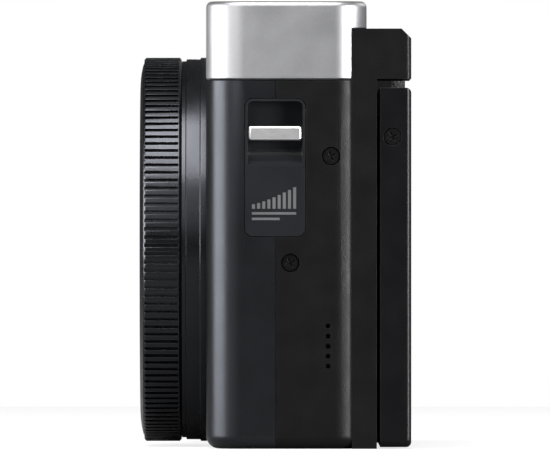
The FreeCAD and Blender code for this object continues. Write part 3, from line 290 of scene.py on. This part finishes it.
# ---- materials: a function above, then its values in order ----
FINISHES = {
    "satin_silver": (lacquer, (0.31, 0.31, 0.32), 0.45, 1.0, (0.44, 0.44, 0.45)),
    "blue_grey_metal": (lacquer, (0.019, 0.0205, 0.0235), 0.31, 0.9, (0.046, 0.049, 0.055)),
    "textured_black": (moulded, (0.0028, 0.0028, 0.003), 0.40, 0.20, 0.030),
    "smooth_black": (moulded, (0.0025, 0.0025, 0.003), 0.34, 0.07, 0.004),
    "panel_plastic": (moulded, (0.010, 0.0105, 0.012), 0.22, 0.30, 0.004),
    "lug_steel": (polished, (0.82, 0.82, 0.82)),
    "screw_black": (moulded, (0.002, 0.002, 0.0022), 0.36, 0.2, 0.004),
    "ring_aluminium": (turned, (0.029, 0.030, 0.034), 0.28, 0.9, 0.10),
    "barrel_black": (turned, (0.016, 0.016, 0.018), 0.32, 0.3, 0.16),
    "lens_glass": (optical, (0.006, 0.008, 0.02), (0.10, 0.05, 0.16)),
    "window_clear": (clear, (0.92, 0.93, 0.95), 0.05),
    "screen_glass": (optical, (0.006, 0.006, 0.008), (0.02, 0.022, 0.03)),
    "grip_rubber": (leathered, (0.004, 0.004, 0.0044)),
    "board_green": (board, (0.02, 0.09, 0.045)),
    "sheet_metal": (brushed, (0.55, 0.55, 0.55), 0.32),
    "silver_metal": (turned, (0.40, 0.40, 0.41), 0.34, 1.0, 0.14, "Z"),
    "socket_steel": (turned, (0.45, 0.45, 0.45), 0.3, 1.0, 0.3, "Z"),
    "battery_wrap": (moulded, (0.04, 0.04, 0.045), 0.4, 0.2, 0.004),
    "lamp_amber": (clear, (0.9, 0.4, 0.12), 0.1),
}
SLOTS = {name: make(name, *values) for name, (make, *values) in FINISHES.items()}
INK = moulded("ink", (0.075, 0.077, 0.080), 0.5, 0.08, 0.002)
LIGHT_INK = moulded("light_ink", (0.55, 0.55, 0.55), 0.5, 0.08, 0.002)


# ---- CAD nodes: material and softened edges ----
EDGE = 0.10                  # width of a softened edge, mm
NODE_EDGES = {"control_ring": 0.06, "case_screws": 0.05, "monitor_screws": 0.05,
              "mode_dial": 0.06, "rear_dial": 0.06, "monitor_glass": 0.05, "top_cover": 0.14,
              "monitor_frame": 0.12}
EDGE_ANGLE = math.radians(32)
FLAT_ANGLE = math.radians(0.05)  # only truly flat facets join
WELD_REACH = 0.001 * MM


def soften(ob, width_mm):
    """Small rounded edges, as moulding and machining leave them."""
    weld = ob.modifiers.new("weld", "WELD")
    weld.merge_threshold = WELD_REACH
    flat = ob.modifiers.new("flat", "DECIMATE")
    flat.decimate_type = "DISSOLVE"
    flat.angle_limit = FLAT_ANGLE
    bevel = ob.modifiers.new("edge", "BEVEL")
    bevel.width = width_mm * MM
    bevel.segments = 2
    bevel.limit_method = "ANGLE"
    bevel.angle_limit = EDGE_ANGLE
    bevel.harden_normals = False
    bevel.use_clamp_overlap = True
    normals = ob.modifiers.new("normals", "WEIGHTED_NORMAL")
    normals.keep_sharp = False
    normals.weight = 100


def dress_nodes():
    """Gives every CAD node the material of its slot and softened edges."""
    for part in frame["record"]["subparts"]:
        ob = NODES[part["node"]]
        ob.data.materials.clear()
        ob.data.materials.append(SLOTS[part["material_slot"]])
        soften(ob, NODE_EDGES.get(part["node"], EDGE))


# ---- small pieces ----
SINK = 0.005 * MM            # filled marks start this far under their surface
PRINT = 0.03 * MM            # thickness of filled marks and thin lines


def piece(name, bm, material, body):
    """Makes a mesh object that rides on a body."""
    mesh = bpy.data.meshes.new(name)
    bmesh.ops.recalc_face_normals(bm, faces=bm.faces)
    bm.to_mesh(mesh)
    bm.free()
    ob = bpy.data.objects.new(name, mesh)
    bpy.context.scene.collection.objects.link(ob)
    mesh.materials.append(material)
    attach(ob, body)
    return ob


def prism(bm, outline, direction, depth):
    """Adds a closed prism: outline points in order, pushed along a direction."""
    low = [bm.verts.new(p) for p in outline]
    high = [bm.verts.new(Vector(p) + Vector(direction) * depth) for p in outline]
    bm.faces.new(low)
    bm.faces.new(high[::-1])
    for i in range(len(low)):
        j = (i + 1) % len(low)
        bm.faces.new((low[i], low[j], high[j], high[i]))


def block(bm, low, high):
    """Adds a closed box between two opposite corners."""
    (x0, y0, z0), (x1, y1, z1) = low, high
    outline = [(x0, y0, z0), (x1, y0, z0), (x1, y1, z0), (x0, y1, z0)]
    prism(bm, outline, (0, 0, 1), z1 - z0)


def annulus(bm, centre, axis, inner, outer, thick, steps=96):
    """Adds a thin closed ring about an axis."""
    turn = Vector((0, 0, 1)).rotation_difference(Vector(axis)).to_matrix().to_4x4()
    place = Matrix.Translation(centre) @ turn
    rows = [(inner, 0), (outer, 0), (outer, thick), (inner, thick)]
    rings = []
    for radius, height in rows:
        ring = []
        for i in range(steps):
            a = 2 * math.pi * i / steps
            p = Vector((radius * math.cos(a), radius * math.sin(a), height))
            ring.append(bm.verts.new(place @ p))
        rings.append(ring)
    for k in range(4):
        one, two = rings[k], rings[(k + 1) % 4]
        for i in range(steps):
            j = (i + 1) % steps
            bm.faces.new((one[i], one[j], two[j], two[i]))


ZOOM_MARGIN = 1.05 * MM      # from the panel's sides to the graphic
ZOOM_BASE = 4.2 * MM         # from the panel's foot to the foot of the bars
ZOOM_BARS = 9
ZOOM_BAR_SHARE = 0.6         # a bar's width as a share of the pitch
ZOOM_LOWEST = 0.7 * MM       # height of the first bar
ZOOM_GROWTH = 2.6 * MM       # height that the last bar has on top of that
ZOOM_CURVE = 1.3             # power by which the bars grow
ZOOM_DROP = 0.9 * MM         # from the bars' foot down to the first line
ZOOM_LINE_PITCH = 0.85 * MM
ZOOM_LINE = 0.38 * MM        # thickness of a line
ZOOM_SHORT = 0.6             # length of the second line as a share of the width
ZOOM_SINK = 0.01 * MM
ZOOM_THICK = 0.025 * MM


def zoom_graphic():
    """Printed zoom sign on the strap panel: bars that grow over two thin lines."""
    low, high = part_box("strap_panels")
    near = high.x - ZOOM_SINK
    far = near + ZOOM_THICK
    left = low.y + ZOOM_MARGIN
    width = high.y - low.y - 2 * ZOOM_MARGIN
    base = low.z + ZOOM_BASE
    step = width / ZOOM_BARS
    bm = bmesh.new()
    for i in range(ZOOM_BARS):
        y = left + i * step
        rise = ZOOM_LOWEST + ZOOM_GROWTH * (i / (ZOOM_BARS - 1)) ** ZOOM_CURVE
        block(bm, (near, y, base), (far, y + step * ZOOM_BAR_SHARE, base + rise))
    last_bar_end = left + width - step * (1 - ZOOM_BAR_SHARE)
    for k, end in enumerate((last_bar_end, left + width * ZOOM_SHORT)):
        z = base - ZOOM_DROP - k * ZOOM_LINE_PITCH
        block(bm, (near, left, z), (far, end, z + ZOOM_LINE))
    piece("zoom_graphic", bm, INK, "case")


DIAL_MARKS = 9
DIAL_MARK_SPAN = (5.6 * MM, 6.9 * MM)    # from the dial's middle
DIAL_MARK_HALF = (0.28 * MM, 0.50 * MM, 0.72 * MM)   # half widths, in turn
DIAL_RING = (3.9 * MM, 4.05 * MM)        # radii of the thin ring inside the marks


def dial_marks():
    """Plain marks of three widths round the top of the mode dial, and a thin ring."""
    low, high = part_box("mode_dial")
    middle = (low + high) / 2
    top = Vector((middle.x, middle.y, high.z))
    near, far = DIAL_MARK_SPAN
    bm = bmesh.new()
    for i in range(DIAL_MARKS):
        a = 2 * math.pi * i / DIAL_MARKS
        out = Vector((math.cos(a), math.sin(a), 0))
        side = Vector((-out.y, out.x, 0)) * DIAL_MARK_HALF[i % 3]
        start, end = top + out * near, top + out * far
        prism(bm, [start - side, end - side, end + side, start + side], (0, 0, 1), PRINT)
    annulus(bm, top, (0, 0, 1), *DIAL_RING, PRINT)
    piece("dial_marks", bm, SLOTS["smooth_black"], "mode_dial")


PLAY_BACK = 0.9 * MM         # from the button's middle to the triangle's upright side
PLAY_TIP = 1.1 * MM
PLAY_HALF = 1.0 * MM         # half of the upright side


def play_mark():
    """Triangle on the playback button."""
    low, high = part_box("playback_button")
    c = (low + high) / 2
    y = high.y - SINK
    bm = bmesh.new()
    points = [(c.x + PLAY_BACK, y, c.z - PLAY_HALF), (c.x + PLAY_BACK, y, c.z + PLAY_HALF),
              (c.x - PLAY_TIP, y, c.z)]
    prism(bm, points, (0, 1, 0), PRINT)
    piece("play_mark", bm, LIGHT_INK, "playback_button")


BUTTON_LINES = {             # half lengths of the three lines, from the lowest up
    "menu_button": (0.9 * MM, 0.9 * MM, 0.9 * MM),
    "disp_button": (0.25 * MM, 0.5 * MM, 0.75 * MM),
}
BUTTON_LINE_PITCH = 0.65 * MM
BUTTON_LINE_HALF = 0.12 * MM     # half thickness


def menu_marks():
    """Three short lines on the menu button and on the display button."""
    for name, halves in BUTTON_LINES.items():
        low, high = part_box(name)
        c = (low + high) / 2
        y = high.y - SINK
        bm = bmesh.new()
        for k, half in zip((-1, 0, 1), halves):
            z = c.z + k * BUTTON_LINE_PITCH
            block(bm, (c.x - half, y, z - BUTTON_LINE_HALF),
                  (c.x + half, y + PRINT, z + BUTTON_LINE_HALF))
        piece(name + "_mark", bm, LIGHT_INK, name)


PLATE_RINGS = 6
PLATE_RING_START = 11.6 * MM     # inner radius of the first ring
PLATE_RING_PITCH = 1.2 * MM
PLATE_RING_WIDTH = 0.45 * MM
PLATE_RING_HEIGHT = 0.08 * MM


def front_plate_rings():
    """Fine raised rings on the moving front plate of the lens."""
    low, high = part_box("lens_front_ring")
    c = (low + high) / 2
    bm = bmesh.new()
    for i in range(PLATE_RINGS):
        radius = PLATE_RING_START + i * PLATE_RING_PITCH
        annulus(bm, (c.x, low.y, c.z), (0, -1, 0), radius, radius + PLATE_RING_WIDTH,
                PLATE_RING_HEIGHT)
    piece("front_plate_rings", bm, SLOTS["barrel_black"], "inner_barrel")


BEZEL_LINE = (23.7 * MM, 24.1 * MM)      # radii
BEZEL_STEPS = 160


def bezel_line():
    """Bright machined line round the bezel's inner edge."""
    low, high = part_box("lens_bezel")
    c = (low + high) / 2
    bm = bmesh.new()
    annulus(bm, (c.x, low.y + PRINT, c.z), (0, -1, 0), *BEZEL_LINE, PRINT, BEZEL_STEPS)
    piece("bezel_line", bm, SLOTS["sheet_metal"], "case")


INDEX_HALF = 0.35 * MM       # half width
INDEX_SPAN = (1.1 * MM, 2.3 * MM)        # from the ring's front
INDEX_SINK = 0.3 * MM        # its foot lies this far inside the ring's widest radius
INDEX_HEIGHT = 0.08 * MM


def lens_index():
    """Index mark on top of the lens base ring."""
    low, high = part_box("lens_base_ring")
    c = (low + high) / 2
    z = c.z + (high.z - low.z) / 2 - INDEX_SINK
    start, end = INDEX_SPAN
    bm = bmesh.new()
    block(bm, (c.x - INDEX_HALF, low.y + start, z),
          (c.x + INDEX_HALF, low.y + end, z + INDEX_HEIGHT))
    piece("lens_index", bm, LIGHT_INK, "case")


RIB_PITCH = 0.62 * MM
RIB_WIDTH = 0.6 * MM
RIB_DEPTH = 0.25 * MM
RIB_GAP = 0.02 * MM          # behind the window
RIB_START = 1.0 * MM         # from the window's near side to the first rib
RIB_STOP = 1.4 * MM          # no rib starts nearer to the far side than this
RIB_MARGIN = 0.9 * MM        # above and below


def flash_prisms():
    """Prismatic ribs behind the flash window."""
    low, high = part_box("flash_window")
    y = high.y + RIB_GAP
    z0, z1 = low.z + RIB_MARGIN, high.z - RIB_MARGIN
    x = low.x + RIB_START
    bm = bmesh.new()
    while x < high.x - RIB_STOP:
        outline = [(x, y, z0), (x + RIB_WIDTH, y, z0), (x + RIB_WIDTH / 2, y + RIB_DEPTH, z0)]
        prism(bm, outline, (0, 0, 1), z1 - z0)
        x += RIB_PITCH
    piece("flash_prisms", bm, SLOTS["window_clear"], "case")


BORDER_INSET = 3.0 * MM
BORDER_LINE = 0.12 * MM
BORDER_THICK = 0.02 * MM


def screen_border():
    """Border line on the monitor window."""
    low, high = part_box("monitor_glass")
    x0, x1 = low.x + BORDER_INSET, high.x - BORDER_INSET
    z0, z1 = low.z + BORDER_INSET, high.z - BORDER_INSET
    line = BORDER_LINE
    bm = bmesh.new()
    for left, right, foot, head in ((x0, x1, z0, z0 + line), (x0, x1, z1 - line, z1),
                                    (x0, x0 + line, z0 + line, z1 - line),
                                    (x1 - line, x1, z0 + line, z1 - line)):
        block(bm, (left, high.y, foot), (right, high.y + BORDER_THICK, head))
    piece("screen_border", bm, SLOTS["smooth_black"], "monitor")


RIDGE_PITCH = 0.9 * MM
RIDGE_HALF = 0.18 * MM       # half width
RIDGE_SPAN = (0.7 * MM, 2.1 * MM)        # from the lever's front
RIDGE_SINK = 0.02 * MM
RIDGE_HEIGHT = 0.12 * MM     # from its sunk foot


def lever_grips():
    """Ridges on the zoom lever's tab."""
    low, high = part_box("zoom_lever")
    c = (low + high) / 2
    foot = high.z - RIDGE_SINK
    start, end = RIDGE_SPAN
    bm = bmesh.new()
    for k in (-1, 0, 1):
        x = c.x + k * RIDGE_PITCH
        block(bm, (x - RIDGE_HALF, low.y + start, foot),
              (x + RIDGE_HALF, low.y + end, foot + RIDGE_HEIGHT))
    piece("lever_grips", bm, SLOTS["silver_metal"], "zoom_lever")


# ---- studio: metres ----
FLOOR_HALF = 0.6             # half of the floor's side
FLOOR_DROP = 0.05 * MM       # below the camera's base
FLOOR_GLOW = 0.75            # keeps the paper pale without lighting the object
PAPER = (0.20, 0.20, 0.20)
PAPER_CLOUD = (0.19, 0.19, 0.19)
PAPER_CLOUD_SIZE = 900       # mm


def floor():
    """Paper just under the camera."""
    bm = bmesh.new()
    for x, y in ((-1, -1), (1, -1), (1, 1), (-1, 1)):
        bm.verts.new((x * FLOOR_HALF, y * FLOOR_HALF, -FLOOR_DROP))
    bm.faces.new(bm.verts)
    mesh = bpy.data.meshes.new("floor")
    bm.to_mesh(mesh)
    bm.free()
    ob = bpy.data.objects.new("floor", mesh)
    bpy.context.scene.collection.objects.link(ob)
    s = Surface("floor_paper", PAPER, 0.9)
    s.shader.inputs["Emission Color"].default_value = (1, 1, 1, 1)
    path = s.tree.nodes.new("ShaderNodeLightPath")
    glow = s.spread(path.outputs["Is Camera Ray"], 0, FLOOR_GLOW)
    s.tree.links.new(glow, s.shader.inputs["Emission Strength"])
    s.tint(s.spread(s.noise(PAPER_CLOUD_SIZE, 2), 0, 0.2), PAPER_CLOUD)
    mesh.materials.append(s.material)
    ob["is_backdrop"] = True


BACKDROP = 1.0               # the world's strength where the camera sees it
ROOM_LIGHT = 0.05            # its strength as a light


def world():
    """Backdrop that looks white, and lights the object as a dimmer room does."""
    w = bpy.data.worlds.new("studio")
    bpy.context.scene.world = w
    w.use_nodes = True
    tree = w.node_tree
    back = tree.nodes["Background"]
    path = tree.nodes.new("ShaderNodeLightPath")
    mix = tree.nodes.new("ShaderNodeMapRange")
    mix.inputs["To Min"].default_value = ROOM_LIGHT
    mix.inputs["To Max"].default_value = BACKDROP
    tree.links.new(path.outputs["Is Camera Ray"], mix.inputs["Value"])
    tree.links.new(mix.outputs["Result"], back.inputs["Strength"])
    back.inputs["Color"].default_value = (1, 1, 1, 1)


AIM = (0.03, 0, 0.035)       # halfway up, towards the side that is seen


def softbox(name, at, target, size, watts):
    """Rectangular light that the camera doesn't see."""
    light = bpy.data.lights.new(name, "AREA")
    light.shape = "RECTANGLE"
    light.size, light.size_y = size
    light.energy = watts
    ob = bpy.data.objects.new(name, light)
    ob.location = at
    ob.rotation_euler = (Vector(target) - Vector(at)).to_track_quat("-Z", "Y").to_euler()
    ob.visible_camera = False
    bpy.context.scene.collection.objects.link(ob)


def lights():
    """Boxes in front, beside, behind and above, and a small strip by the silver flat."""
    softbox("front_box", (0.12, -0.70, 0.12), AIM, (0.52, 0.5), 11)
    softbox("side_box", (0.56, -0.52, 0.10), AIM, (0.46, 0.45), 0.6)
    softbox("rear_strip", (0.41, 0.52, 0.05), AIM, (0.26, 0.30), 10)
    softbox("top_box", (0.34, -0.12, 0.76), AIM, (0.45, 0.62), 11)
    softbox("near_strip", (0.120, -0.036, 0.075), (0.056, -0.006, 0.060), (0.03, 0.04), 0.012)
    softbox("back_fill", (-0.5, 0.7, 0.5), AIM, (0.7, 0.5), 3)


VIEW_WIDTH = 84.5 * MM       # width that the frame shows at the near side
DISTANCE = 2.8               # from the near side to the lens
CLIP = (0.05, 60)


def camera():
    """Long lens square to the +X side."""
    low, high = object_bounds()
    middle = (low + high) / 2
    data = bpy.data.cameras.new("camera")
    data.lens = data.sensor_width * DISTANCE / VIEW_WIDTH
    data.clip_start, data.clip_end = CLIP
    ob = bpy.data.objects.new("camera", data)
    ob.location = (high.x + DISTANCE, middle.y, middle.z)
    ob.rotation_euler = (math.radians(90), 0, math.radians(90))
    bpy.context.scene.collection.objects.link(ob)
    bpy.context.scene.camera = ob


dress_nodes()
zoom_graphic()
dial_marks()
play_mark()
menu_marks()
front_plate_rings()
bezel_line()
lens_index()
flash_prisms()
screen_border()
lever_grips()
floor()
world()
lights()
camera()
